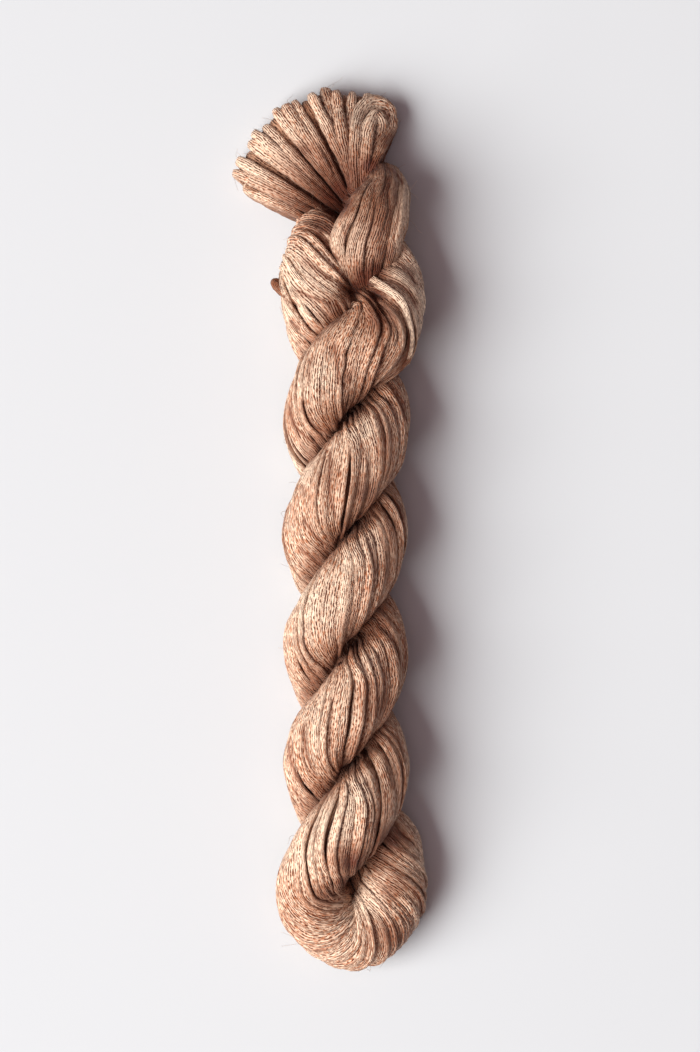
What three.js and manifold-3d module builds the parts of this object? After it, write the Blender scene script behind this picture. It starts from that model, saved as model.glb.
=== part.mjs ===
// A hank of linen yarn, twisted on itself, tucked and lying on a table.
//
// The skein is a long loop of yarn. It is twisted, folded in half so that its two halves wind round each
// other as plies, and the end of one ply is pulled through the end loop of the other. From the top down:
//   fan    the end of the first ply, pulled through the knot, its yarn loops spread
//   ring   the end loop of the second ply, over, round and under the neck of the fan
//   rope   the two plies, wound round each other
//   bight  the fold at the foot, where the first ply turns back and becomes the second
// Millimetres. +Z is up from the table, +Y runs from the bight to the fan, and the origin lies on the table
// below the middle of the hank's box.

import * as THREE from "three";
import { LoftGeometry } from "three/addons/geometries/LoftGeometry.js";
import { mergeVertices } from "three/addons/utils/BufferGeometryUtils.js";
import Module from "manifold-3d";

const wasm = await Module();
wasm.setup();
const { lerp, clamp, degToRad } = THREE.MathUtils;

// Rope: the axis, the winding and the plies
const AXIS_X = 5.3;
const AXIS_Z = 16.4;
const HALF_PITCH = 37.1; // along the axis, between one ply on top and the next
const TOP_CROWN_Y = 53.6; // where the first ply first lies on top, just below the ring
const FOOT_CROWN_Y = TOP_CROWN_Y - 4 * HALF_PITCH; // where it lies on top for the last time
const PLY_OFFSET = 9.4; // ply centre from the axis
const PLY_ACROSS = 10.4; // half the ply's thickness, measured away from the axis
const PLY_SIDE = 11.6; // half the ply's width, measured along the rope's skin
const PRESSED = 0.72; // how far a bundle reaches towards its spine, against away from it
const SAG = 0.9; // height of the rope against its width, as it lies
const ROWS_PER_HALF_PITCH = 4;

// Unevenness of the rope: how full each lobe is, one row for each crown from the ring down
const LOBES = [
  { y: TOP_CROWN_Y, full: 1.02, shift: 0.3 },
  { y: TOP_CROWN_Y - HALF_PITCH, full: 1.03, shift: 0.2 },
  { y: TOP_CROWN_Y - 2 * HALF_PITCH, full: 0.98, shift: -0.4 },
  { y: TOP_CROWN_Y - 3 * HALF_PITCH, full: 1.01, shift: 0.1 },
  { y: FOOT_CROWN_Y, full: 1.02, shift: 0.2 },
];

// Centre line and half sizes of a bundle, a row for each place it passes.
// across is measured away from the spine that the bundle winds round, side along the hank's skin.
// inner, where a row has it, is how far the bundle reaches towards its spine, instead of PRESSED.
const NECK_TO_ROPE = [
  { x: 0.6, y: 111.0, z: 9.6, across: 7.6, side: 12.0 }, // inside the fan
  { x: 5.4, y: 103.5, z: 11.0, across: 9.2, side: 12.6 }, // the neck, held by the ring
  { x: 11.6, y: 93.5, z: 11.5, across: 9.6, side: 11.4 }, // under the strap
  { x: 16.4, y: 82.5, z: 15.5, across: 11.6, side: 12.0 },
  { x: 18.0, y: 71.5, z: 19.2, across: 12.75, side: 12.4, inner: 0.86 }, // the bulge at the right
  { x: 14.6, y: 60.8, z: 22.0, across: 12.6, side: 13.4, inner: 0.86 },
];
const BIGHT = [
  { x: -1.6, y: -104.2, z: 21.0, across: 10.8, side: 11.8 },
  { x: -5.4, y: -114.0, z: 15.0, across: 11.4, side: 12.0, inner: 0.92 }, // left
  { x: -2.6, y: -124.8, z: 10.8, across: 11.4, side: 11.8, inner: 0.94 },
  { x: 7.2, y: -130.5, z: 9.4, across: 11.4, side: 11.4, inner: 0.94 }, // the foot
  { x: 16.6, y: -125.0, z: 9.4, across: 11.4, side: 11.6, inner: 0.94 },
  { x: 20.0, y: -113.4, z: 9.6, across: 11.4, side: 11.8, inner: 0.98 }, // right
  { x: 17.2, y: -101.6, z: 9.4, across: 11.2, side: 12.0, inner: 0.86 },
];
const FOOT_ROW = 3;
const FOOT_TAPER = [0.9, 0.98]; // start of the second ply, drawn in inside the end of the first
const LEFT_BULB = [
  { x: -1.4, y: 65.4, z: 13.2, across: 12.8, side: 12.8 },
  { x: -2.8, y: 74.4, z: 17.0, across: 13.2, side: 13.4, inner: 0.86 }, // the bulb at the left
  { x: -2.2, y: 84.6, z: 17.2, across: 13.0, side: 13.0, inner: 0.86 },
  { x: -0.6, y: 95.4, z: 11.4, across: 11.0, side: 11.4 },
  { x: 6.0, y: 104.0, z: 5.4, across: 5.2, side: 9.6 }, // under the neck
];
const STRAP = [
  { x: 9.6, y: 62.0, z: 6.0, across: 5.2, side: 5.4 }, // under the first ply
  { x: 9.6, y: 70.0, z: 9.4, across: 5.2, side: 5.8 },
  { x: 10.4, y: 77.5, z: 14.8, across: 5.6, side: 7.6 }, // where it comes up between the plies
  { x: 11.0, y: 84.2, z: 20.8, across: 6.0, side: 10.8 },
  { x: 11.9, y: 91.2, z: 25.0, across: 6.4, side: 12.8 },
  { x: 14.8, y: 99.6, z: 25.4, across: 6.4, side: 12.2 }, // on top of the neck
  { x: 18.2, y: 107.2, z: 20.4, across: 6.0, side: 9.8 },
  { x: 19.4, y: 111.4, z: 12.6, across: 5.6, side: 8.6 }, // round the right of the neck
  { x: 14.6, y: 109.0, z: 6.2, across: 5.2, side: 9.0 },
  { x: 4.0, y: 102.0, z: 5.2, across: 5.2, side: 9.6 }, // under the neck
];
const RING_SPINE = { x: 8.0, y: 99.0, z: 14.0 }; // middle of the neck, which the strap winds round

// Spine that the plies wind round: straight along the axis, then down to the eye of the bight
const SPINE = [
  { x: 8.0, y: 96.0, z: 15.0 },
  { x: AXIS_X, y: TOP_CROWN_Y, z: AXIS_Z },
  { x: AXIS_X, y: FOOT_CROWN_Y, z: AXIS_Z },
  { x: 7.2, y: -112.0, z: 12.2 }, // the eye
];

// Fan: where it starts at the neck, its rim, and its upright outline along one loop
const FAN_NECK = { x: 7.6, y: 100.0, reach: 5.0, top: 21.0, foot: 2.0 };
const FAN_RIM = { top: 13.4, foot: -0.8, round: 6.4 };
const FAN_EDGE_HEIGHT = 0.62; // height of the outermost loops against that of the middle ones
const FAN_FURROW = 1.3; // depth of the furrow between two loops
// out: from the neck to the rim's rounding; round: into the rounding; lift: from foot to top;
// neck: how much of the neck's height it has; furrow: how deep the furrow is cut there.
const FAN_OUTLINE = [
  { out: 0, round: 0, lift: 0, neck: 1, furrow: 0 },
  { out: 0.5, round: 0, lift: 0, neck: 0, furrow: 0 },
  { out: 1, round: 0, lift: 0, neck: 0, furrow: 0 },
  { out: 1, round: 0.75, lift: 0.18, neck: 0, furrow: 0.5 },
  { out: 1, round: 1, lift: 0.5, neck: 0, furrow: 0.5 },
  { out: 1, round: 0.75, lift: 0.82, neck: 0, furrow: 0.7 },
  { out: 1, round: 0, lift: 1, neck: 0, furrow: 1 },
  { out: 0.66, round: 0, lift: 1, neck: 0.5, furrow: 1 },
  { out: 0.33, round: 0, lift: 1, neck: 0.8, furrow: 0.5 },
  { out: 0, round: 0, lift: 1, neck: 1, furrow: 0.2 },
];
// The loops in order from the left round to the right: the way each points, its reach from the neck, and how far
// to the left of the neck's middle it starts.
const FAN_LOOPS = [
  { angle: 164, reach: 36.6, start: 10.0 },
  { angle: 160.6, reach: 40.0, start: 5.6 },
  { angle: 156.4, reach: 42.1, start: 2.4 },
  { angle: 151, reach: 41.4, start: 1.6 },
  { angle: 145, reach: 41.2, start: 0.8 },
  { angle: 139.4, reach: 42.0, start: 0.3 },
  { angle: 133, reach: 40.8, start: -0.2 },
  { angle: 124.8, reach: 42.4, start: -1.0 },
  { angle: 118, reach: 42.0, start: -1.8 },
  { angle: 109.8, reach: 42.2, start: -2.4 },
  { angle: 103.2, reach: 43.05, start: -2.2 },
  { angle: 96.6, reach: 41.8, start: -1.6 },
  { angle: 89.6, reach: 40.8, start: -1.0 },
  { angle: 82, reach: 41.0, start: -0.4 },
  { angle: 74, reach: 40.0, start: 0.0 },
  { angle: 66, reach: 35.0, start: 0.0 },
];
const FAN_STEPS_PER_LOOP = 4;

// How finely the skins are faceted
const STEPS_PER_ROW = 3;
const PLY_SIDES = 20;
const STRAP_SIDES = 16;

// Fillings: the rope's core, in the seam between the plies, and the yarn that closes the eye of the bight
const CORE_RADIUS = 7.8;
const CORE_TOP_Y = 72.0;
const CORE_SIDES = 10;
const EYE = { x: 7.6, y: -111.6, z: 7.4, radius: 11.2, height: 9.8, sides: 16, bands: 10 };

const TABLE_SIZE = 400;
const WELD = 0.0001;
const SLIVER = 0.02;

function smooth(t) {
  return t * t * (3 - 2 * t);
}

// Value of a table's column at place, rows being ordered by falling y.
function atY(rows, y, column) {
  const last = rows.length - 1;
  if (y >= rows[0].y) return rows[0][column];
  if (y <= rows[last].y) return rows[last][column];
  const next = rows.findIndex((row) => row.y <= y);
  const above = rows[next - 1];
  const below = rows[next];
  const t = (above.y - y) / (above.y - below.y);
  return lerp(above[column], below[column], t);
}

// One row of a ply where it winds round the axis. turn is 0 with the ply on top and grows towards the right.
function woundRow(y, turn) {
  const full = atY(LOBES, y, "full");
  return {
    x: AXIS_X + atY(LOBES, y, "shift") + PLY_OFFSET * full * Math.sin(turn),
    y,
    z: AXIS_Z + SAG * PLY_OFFSET * full * Math.cos(turn),
    across: PLY_ACROSS * full,
    side: PLY_SIDE * full,
  };
}

// Rows of a wound ply from the crown below the ring down to the last crown above the bight.
function woundRows(startTurn) {
  const rows = [];
  const count = 4 * ROWS_PER_HALF_PITCH;
  for (let i = 0; i <= count; i++) {
    const halfTurns = i / ROWS_PER_HALF_PITCH;
    rows.push(woundRow(TOP_CROWN_Y - halfTurns * HALF_PITCH, startTurn - halfTurns * Math.PI));
  }
  return rows;
}

// Point of the plies' spine beside y.
function spineBeside(y) {
  const level = clamp(y, SPINE.at(-1).y, SPINE[0].y);
  return new THREE.Vector3(atY(SPINE, y, "x"), level, atY(SPINE, y, "z"));
}

// Sections of a bundle that follows rows and winds round the spine.
function bundleSections(rows, spineAt, sides) {
  const line = new THREE.CatmullRomCurve3(rows.map((row) => new THREE.Vector3(row.x, row.y, row.z)));
  const count = (rows.length - 1) * STEPS_PER_ROW;
  const sections = [];
  for (let i = 0; i <= count; i++) {
    const place = i / count;
    const row = Math.min(Math.floor(i / STEPS_PER_ROW), rows.length - 2);
    const blend = smooth(i / STEPS_PER_ROW - row);
    const across = lerp(rows[row].across, rows[row + 1].across, blend);
    const side = lerp(rows[row].side, rows[row + 1].side, blend);
    const inner = lerp(rows[row].inner ?? PRESSED, rows[row + 1].inner ?? PRESSED, blend);
    const centre = line.getPoint(place);
    const along = line.getTangent(place);
    const away = centre.clone().sub(spineAt(centre.y)).projectOnPlane(along).normalize();
    const beside = along.clone().cross(away);
    sections.push(
      Array.from({ length: sides }, (_, k) => {
        const angle = (2 * Math.PI * k) / sides;
        const point = centre.clone();
        const reach = Math.cos(angle);
        point.addScaledVector(away, across * (reach < 0 ? inner * reach : reach));
        point.addScaledVector(beside, side * Math.sin(angle));
        point.z = centre.z + SAG * (point.z - centre.z);
        return point;
      }),
    );
  }
  return sections;
}

// A section drawn in towards its middle.
function shrunk(section, size) {
  const middle = new THREE.Vector3();
  section.forEach((point) => middle.addScaledVector(point, 1 / section.length));
  return section.map((point) => middle.clone().lerp(point, size));
}

function skin(sections) {
  return new LoftGeometry(sections, { capStart: true, capEnd: true });
}

// Outline of the fan along angle, drawn to the left by start at the neck and not at all at the rim.
function fanSection(angle, reach, start, height, furrow) {
  const way = new THREE.Vector3(Math.cos(angle), Math.sin(angle), 0);
  const left = new THREE.Vector3(-way.y, way.x, 0);
  const rimReach = reach - FAN_RIM.round;
  return FAN_OUTLINE.map((row) => {
    const foot = lerp(FAN_RIM.foot, FAN_NECK.foot, row.neck);
    const top = lerp(FAN_RIM.top * height, FAN_NECK.top, row.neck);
    const sunk = furrow * row.furrow;
    const far = lerp(FAN_NECK.reach, rimReach, row.out) + FAN_RIM.round * row.round;
    const point = new THREE.Vector3(FAN_NECK.x, FAN_NECK.y, lerp(foot, top - sunk, row.lift));
    point.addScaledVector(left, start * (1 - far / reach));
    return point.addScaledVector(way, far - sunk * row.round);
  });
}

// Closed skin of the fan: a furrowed wall of yarn loops side by side.
function fan() {
  const sections = [];
  const last = FAN_LOOPS.length - 1;
  const count = last * FAN_STEPS_PER_LOOP;
  for (let i = 0; i <= count; i++) {
    const loop = Math.min(Math.floor(i / FAN_STEPS_PER_LOOP), last - 1);
    const blend = i / FAN_STEPS_PER_LOOP - loop;
    const here = FAN_LOOPS[loop];
    const next = FAN_LOOPS[loop + 1];
    const angle = degToRad(lerp(here.angle, next.angle, blend));
    const reach = lerp(here.reach, next.reach, smooth(blend));
    const start = lerp(here.start, next.start, blend);
    const furrow = FAN_FURROW * Math.sin(Math.PI * blend) ** 2;
    const offMiddle = Math.abs(2 * (i / count) - 1);
    const height = lerp(1, FAN_EDGE_HEIGHT, offMiddle ** 3);
    sections.push(fanSection(angle, reach, start, height, furrow));
  }
  return skin(sections);
}

// Solid of a closed geometry. Slivers finer than the tolerance are dropped where solids are joined.
function solidOf(geometry) {
  const bare = new THREE.BufferGeometry().copy(geometry);
  bare.deleteAttribute("normal");
  bare.deleteAttribute("uv");
  const merged = mergeVertices(bare, WELD);
  const mesh = new wasm.Mesh({
    numProp: 3,
    vertProperties: new Float32Array(merged.attributes.position.array),
    triVerts: new Uint32Array(merged.index.array),
    tolerance: SLIVER,
  });
  return new wasm.Manifold(mesh);
}

function geometryOf(solid) {
  const { vertProperties, triVerts } = solid.getMesh();
  const geometry = new THREE.BufferGeometry();
  geometry.setAttribute("position", new THREE.BufferAttribute(new Float32Array(vertProperties), 3));
  geometry.setIndex(new THREE.BufferAttribute(new Uint32Array(triVerts), 1));
  geometry.computeVertexNormals();
  return geometry;
}

// The two plies, in one run down the first, round the bight and up the second, parted at the foot.
function plies() {
  const first = [...NECK_TO_ROPE, ...woundRows(0), ...BIGHT.slice(0, FOOT_ROW)];
  const second = [...BIGHT.slice(FOOT_ROW), ...woundRows(Math.PI).reverse(), ...LEFT_BULB];
  const sections = bundleSections([...first, ...second], spineBeside, PLY_SIDES);
  const foot = first.length * STEPS_PER_ROW;
  const tail = FOOT_TAPER.map((size, i) => shrunk(sections[foot - 1 + i], size));
  return [skin(sections.slice(0, foot + 1)), skin([...tail, ...sections.slice(foot + tail.length - 1)])];
}

function strap() {
  const round = () => new THREE.Vector3(RING_SPINE.x, RING_SPINE.y, RING_SPINE.z);
  return skin(bundleSections(STRAP, round, STRAP_SIDES));
}

function core() {
  const length = CORE_TOP_Y - FOOT_CROWN_Y;
  const rod = new THREE.CylinderGeometry(CORE_RADIUS, CORE_RADIUS, length, CORE_SIDES);
  rod.translate(AXIS_X, FOOT_CROWN_Y + length / 2, AXIS_Z);
  return rod;
}

function eye() {
  const lump = new THREE.SphereGeometry(1, EYE.sides, EYE.bands);
  lump.scale(EYE.radius, EYE.radius, EYE.height);
  lump.translate(EYE.x, EYE.y, EYE.z);
  return lump;
}

function table() {
  const slab = new THREE.BoxGeometry(TABLE_SIZE, TABLE_SIZE, TABLE_SIZE);
  slab.translate(0, 0, -TABLE_SIZE / 2);
  return slab;
}

// The bundles press on each other, so hollows sealed between them are filled, and the yarn is soft, so it lies
// flat where it meets the table.
function hankSolid() {
  const [first, ...rest] = [...plies(), strap(), core(), eye(), fan()].map(solidOf);
  const joined = rest.reduce((whole, piece) => whole.add(piece), first);
  const filled = joined.decompose().reduce((a, b) => (a.volume() > b.volume() ? a : b));
  return filled.subtract(solidOf(table()));
}

const linen = new THREE.MeshStandardMaterial({ color: 0xb98a68, roughness: 0.85, metalness: 0 });
const yarnHank = new THREE.Mesh(geometryOf(hankSolid()), linen);
yarnHank.name = "yarn_hank";

const hank = new THREE.Group();
hank.add(yarnHank);

export default hank;
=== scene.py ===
"""Looks of a hank of linen tape yarn.

Its single turns are laid on the wound form, with their knitted grain, the furrows between them and the fuzz.
Light and shade are partly painted into the colour of the yarns: shade in the grooves, furrows, slits, along
tape edges, on the inner layers and in spots, and light on the lobes' lit shoulders and in other spots.
"""
import math

import bpy
import numpy as np
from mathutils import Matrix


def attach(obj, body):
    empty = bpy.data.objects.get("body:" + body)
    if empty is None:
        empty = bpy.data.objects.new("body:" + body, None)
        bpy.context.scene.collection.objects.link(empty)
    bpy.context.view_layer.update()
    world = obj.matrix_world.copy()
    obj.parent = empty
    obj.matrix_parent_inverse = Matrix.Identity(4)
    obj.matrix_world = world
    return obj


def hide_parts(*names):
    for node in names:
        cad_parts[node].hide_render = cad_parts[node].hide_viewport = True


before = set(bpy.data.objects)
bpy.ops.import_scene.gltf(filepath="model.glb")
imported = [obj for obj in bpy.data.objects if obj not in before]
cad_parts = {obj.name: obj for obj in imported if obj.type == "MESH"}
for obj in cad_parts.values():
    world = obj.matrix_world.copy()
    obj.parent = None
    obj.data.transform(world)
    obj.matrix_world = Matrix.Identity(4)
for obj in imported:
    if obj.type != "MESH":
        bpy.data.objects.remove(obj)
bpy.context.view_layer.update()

MM = 0.001
BODY = "root"
NODE = "yarn_hank"
UP = np.array([0.0, 0.0, 1.0])
TINY = 1e-9
rng = np.random.default_rng(11)

# Wound form, as in the solid, in millimetres
AXIS_X = 5.3
AXIS_Z = 16.4
HALF_PITCH = 37.1
LOBE_COUNT = 5
TOP_CROWN_Y = 53.6
FOOT_CROWN_Y = TOP_CROWN_Y - (LOBE_COUNT - 1) * HALF_PITCH
PLY_OFFSET = 9.4
PLY_ACROSS = 10.4
PLY_SIDE = 11.6
PRESSED = 0.72
SAG = 0.9
ROWS_PER_HALF_PITCH = 4

# Fullness and shift to the right of each lobe, from the ring down
LOBE_FULL = (1.02, 1.03, 0.98, 1.01, 1.02)
LOBE_SHIFT = (0.3, 0.2, -0.4, 0.1, 0.2)

# Centre lines of the bundles: x, y, z, half size across, half size beside, inner side's share, twist
NECK_TO_ROPE = [
    (0.6, 111.0, 5.6, 4.2, 11.0, 0.72, 0.35),
    (5.6, 106.0, 6.8, 5.0, 10.0, 0.72, 0.35),
    (10.4, 100.2, 10.8, 9.0, 9.6, 0.72, 0.35),
    (11.6, 93.5, 11.5, 9.6, 11.4, 0.72, 0.5),
    (16.4, 82.5, 15.5, 11.6, 12.0, 0.72, 1.0),
    (18.0, 71.5, 19.2, 12.75, 12.4, 0.96, 1.0),
    (14.6, 60.8, 22.0, 12.6, 13.4, 0.86, 1.0),
]
BIGHT = [
    (-1.6, -104.2, 21.0, 10.8, 11.8, 0.8, 1.0),
    (-5.4, -114.0, 15.0, 11.4, 12.0, 1.0, 0.7),
    (-2.6, -124.8, 10.8, 11.4, 11.8, 1.0, 0.9),
    (7.2, -130.5, 9.4, 11.4, 11.4, 1.0, 1.7),
    (16.6, -125.0, 9.4, 11.4, 11.6, 1.0, 1.5),
    (20.0, -113.4, 9.6, 11.4, 11.8, 1.0, 1.1),
    (17.2, -101.6, 9.4, 11.2, 12.0, 0.8, 1.0),
]
LEFT_BULB = [
    (-1.4, 65.4, 13.2, 12.8, 12.8, 0.72, 1.0),
    (-2.8, 74.4, 17.0, 13.2, 13.4, 0.8, 1.0),
    (-2.2, 84.6, 17.2, 13.0, 13.0, 0.8, 1.0),
    (-1.6, 93.0, 9.4, 9.6, 12.6, 0.72, 1.0),
    (2.0, 99.4, 3.8, 4.4, 9.0, 0.72, 1.0),
]
STRAP = [
    (9.6, 62.0, 6.0, 5.2, 5.4, 0.72, 0.2),
    (9.6, 70.0, 9.4, 5.2, 5.8, 0.72, 0.2),
    (10.4, 77.5, 14.8, 5.6, 7.6, 0.72, 0.2),
    (11.0, 84.2, 20.8, 6.0, 10.8, 0.9, 0.2),
    (12.2, 91.2, 25.0, 6.4, 12.4, 1.35, 0.2),
    (15.7, 99.4, 25.4, 6.4, 11.2, 1.55, 0.2),
    (18.6, 107.0, 20.6, 6.0, 8.4, 1.55, 0.2),
    (18.0, 112.0, 12.6, 5.4, 6.2, 1.3, 0.2),
    (14.6, 109.6, 6.2, 5.2, 7.0, 0.72, 0.2),
    (4.0, 102.0, 5.2, 5.2, 9.6, 0.72, 0.2),
]
CORE = [
    (AXIS_X, 66.0, AXIS_Z, 6.2, 6.2, 1.0, 0.5),
    (AXIS_X, TOP_CROWN_Y, AXIS_Z, 6.6, 6.6, 1.0, 0.5),
    (AXIS_X, FOOT_CROWN_Y, AXIS_Z, 6.6, 6.6, 1.0, 0.5),
    (AXIS_X + 1.3, -106.0, AXIS_Z - 5.0, 6.2, 6.2, 1.0, 0.5),
    (AXIS_X + 1.3, -116.0, AXIS_Z - 9.0, 5.6, 5.6, 1.0, 0.5),
]
# Lines that the bundles wind round, from the top down
PLY_SPINE = [
    (8.0, 96.0, 15.0),
    (AXIS_X, TOP_CROWN_Y, AXIS_Z),
    (AXIS_X, FOOT_CROWN_Y, AXIS_Z),
    (7.2, -112.0, 12.2),
]
RING_SPINE = [(8.0, 99.0, 14.0), (8.0, 98.9, 14.0)]
CORE_SPINE = [(-60.0, 66.0, AXIS_Z), (-60.0, -116.0, AXIS_Z)]

# Spots in the grooves where the yarns draw together, below and left of the middle between two crowns:
# their place, the way along the groove, reach, pull, and the height from which it works
GATHER_OFF = (-1.8, -3.4)
GATHER_WAY = (0.72, 0.69)
GATHER_REACH = 9.5
GATHER_PULL = 0.6
GATHER_LEAST_Z = 8.0
GATHER_RISE = 10.0
RING_GATHER = (9.6, 76.6)
GROOVE_MIDDLES = [TOP_CROWN_Y - (k + 0.5) * HALF_PITCH for k in range(LOBE_COUNT - 1)]
GROOVE_SPOTS = [(AXIS_X + GATHER_OFF[0], y + GATHER_OFF[1]) for y in GROOVE_MIDDLES]
# Hollows in the plies: x, y, way in degrees, half length, half width, depth.
# One lies in each groove, up and to the right of those spots, and four round the foot of the strap.
HOLLOW_OFF = (4.5, 3.8)
HOLLOWS = [(AXIS_X + HOLLOW_OFF[0], y + HOLLOW_OFF[1], 38.0, 7.0, 3.0, 4.2) for y in GROOVE_MIDDLES]
HOLLOWS += [
    (3.4, 84.4, -54.0, 9.0, 2.4, 3.5),
    (6.6, 77.0, -62.0, 5.0, 3.0, 5.5),
    (13.2, 81.6, 42.0, 9.0, 3.4, 6.5),
    (14.6, 72.6, -66.0, 7.0, 2.4, 4.0),
]
# Shade beside the grooves: reach above and below, how it comes on along them, half length,
# how much deeper it gets, and the height from which it shows
GROOVE_SHADE = 0.7
GROOVE_SHADE_ABOVE = 8.5
GROOVE_SHADE_BELOW = 2.0
GROOVE_SHADE_RAMP = 8.0
GROOVE_SHADE_LENGTH = 22.0
GROOVE_SHADE_FAR = 0.12
GROOVE_SHADE_LEAST_Z = 10.0
GROOVE_SHADE_RISE = 8.0
# Lit shoulder of the lower lobe along each groove: distance below it, half width, half length, strength
GROOVE_LIT_OFF = 5.5
GROOVE_LIT_WIDTH = 3.6
GROOVE_LIT_LENGTH = 12.0
GROOVE_LIT = 0.7

# Rope's crowns and grooves, measured from its axis, their shade, and the length of the rope
CROWN_REACH = 18.4
GROOVE_REACH = 9.5
ROPE_SHADE = 0.8
ROPE_MIDDLE_Y = -20.0
ROPE_HALF_LENGTH = 95.0
ROPE_FADE = 10.0
# Band right of the crest that is turned away from the light
BAND_OFF = 13.5
BAND_WIDTH = 4.0
BAND_SHADE = 0.35

# Furrows between the yarns on the upper side: reach to each side, fading share of the length at the ends,
# painted shade, sinking, push aside, its steepness, steps of the curve, half width of the dark line of
# painted shade, and heights from which a furrow shows and sinks the yarns
FURROW_REACH = 2.0
FURROW_FADE = 0.16
FURROW_SHADE = 0.36
FURROW_SINK = 0.8
FURROW_PUSH = 0.35
FURROW_STEEP = 2.0
FURROW_STEPS = 5
FURROW_LINE = 0.45
FURROW_LEAST_Z = 9.0
FURROW_SINK_Z = 18.0
FURROW_RISE = 6.0
# Strength, then x and y along each furrow
FURROWS = [
    (1.0, [(14.2, 112.0), (14.2, 104.0), (13.6, 97.0), (11.8, 91.0), (10.4, 85.0)]),
    (1.0, [(18.6, 113.0), (18.8, 106.0), (19.2, 99.0), (17.0, 93.0), (15.2, 87.5)]),
    (1.0, [(16.4, 116.4), (21.4, 113.0), (23.8, 108.5)]),
    (0.6, [(20.2, 109.0), (21.8, 103.0), (21.4, 97.0), (19.2, 90.5)]),
    (1.0, [(7.2, 97.0), (5.2, 93.6), (5.0, 88.0)]),
    (1.0, [(12.6, 77.5), (15.6, 70.5), (16.7, 62.0), (16.8, 55.0), (15.6, 48.0)]),
    (1.0, [(25.0, 66.0), (25.2, 59.0), (24.0, 52.5), (20.6, 46.6)]),
    (1.0, [(20.4, 85.6), (24.8, 82.0), (28.2, 76.0)]),
    (1.0, [(15.4, 81.4), (20.0, 78.6), (25.0, 75.0), (28.4, 69.0)]),
    (1.0, [(-4.6, 95.0), (-1.4, 90.0), (4.4, 83.6)]),
    (1.0, [(-9.6, 86.4), (-4.4, 82.2), (2.4, 77.2)]),
    (1.0, [(-12.4, 76.4), (-5.0, 73.0), (2.4, 70.6)]),
    (0.7, [(-15.4, 73.4), (-9.0, 69.6)]),
    (1.0, [(-13.2, 66.8), (-8.6, 62.6)]),
    (0.8, [(-4.8, 56.0), (-6.4, 50.0), (-5.8, 45.0)]),
    (1.0, [(-13.2, 41.0), (-11.4, 33.6), (-7.6, 29.2), (-3.6, 26.6)]),
    (1.0, [(-8.8, 42.0), (-7.4, 36.0), (-4.2, 32.0), (-0.4, 30.6)]),
    (1.0, [(1.6, 60.0), (2.6, 51.0), (5.2, 43.0)]),
    (0.8, [(5.2, 58.0), (5.1, 51.0), (7.4, 45.0)]),
    (1.0, [(0.6, 27.0), (0.1, 20.0), (0.2, 12.0), (2.2, 2.0)]),
    (0.6, [(5.4, 30.0), (6.4, 22.0), (5.6, 14.0), (4.8, 5.0)]),
    (0.6, [(9.6, 29.4), (11.4, 23.6), (13.0, 15.0)]),
    (0.5, [(14.2, 38.0), (17.4, 32.0), (19.2, 25.4)]),
    (1.0, [(19.6, 44.0), (23.0, 38.6), (24.6, 33.0)]),
    (0.8, [(-8.8, 15.0), (-7.6, 9.0)]),
    (1.0, [(-9.2, 4.6), (-4.8, -1.8), (0.4, -6.2)]),
    (1.0, [(-10.8, -5.0), (-6.2, -9.0), (-2.2, -12.4)]),
    (0.6, [(11.0, -2.0), (13.4, -9.0), (15.0, -14.6)]),
    (0.6, [(15.6, 0.4), (17.2, -5.0), (18.6, -12.0), (19.2, -18.0)]),
    (1.0, [(19.0, 11.4), (22.0, 7.0), (23.8, 1.4)]),
    (0.8, [(-9.0, -33.0), (-7.0, -38.6), (-2.4, -43.8)]),
    (0.65, [(2.6, -50.0), (0.8, -55.6), (0.2, -63.0), (0.6, -71.0)]),
    (0.8, [(-8.0, -60.0), (-7.8, -68.0), (-6.2, -74.6), (-3.4, -80.0)]),
    (0.8, [(-13.0, -66.0), (-12.4, -73.0), (-9.4, -80.2), (-5.8, -85.2)]),
    (0.45, [(9.4, -45.0), (10.0, -52.0), (10.9, -60.0), (11.0, -67.0)]),
    (0.5, [(14.8, -37.0), (17.4, -43.0), (18.4, -50.0), (18.0, -57.0)]),
    (0.6, [(18.6, -31.0), (21.6, -37.0), (23.4, -44.0), (22.6, -52.0)]),
    (0.8, [(-12.4, -81.4), (-9.0, -87.0), (-6.2, -89.4)]),
    (0.5, [(10.4, -76.0), (13.6, -83.0), (14.8, -90.0), (15.6, -97.0)]),
    (0.5, [(16.4, -71.0), (19.4, -77.0), (20.4, -83.0)]),
    (0.6, [(20.4, -63.4), (22.8, -69.0), (23.4, -76.0)]),
    (0.8, [(17.0, -105.0), (21.4, -110.0), (25.6, -116.0)]),
    (0.6, [(13.6, -110.0), (18.0, -115.4), (22.6, -121.0)]),
    (0.5, [(11.0, -117.0), (15.4, -124.6), (18.6, -131.0)]),
    (0.8, [(19.8, -95.6), (24.0, -98.6), (26.8, -100.4)]),
    (0.8, [(19.6, -101.4), (24.6, -103.6), (29.4, -106.4)]),
    (0.7, [(-15.2, -121.0), (-12.2, -127.6), (-7.0, -132.6)]),
    (0.7, [(-5.4, -135.4), (-1.0, -134.2)]),
]
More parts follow.
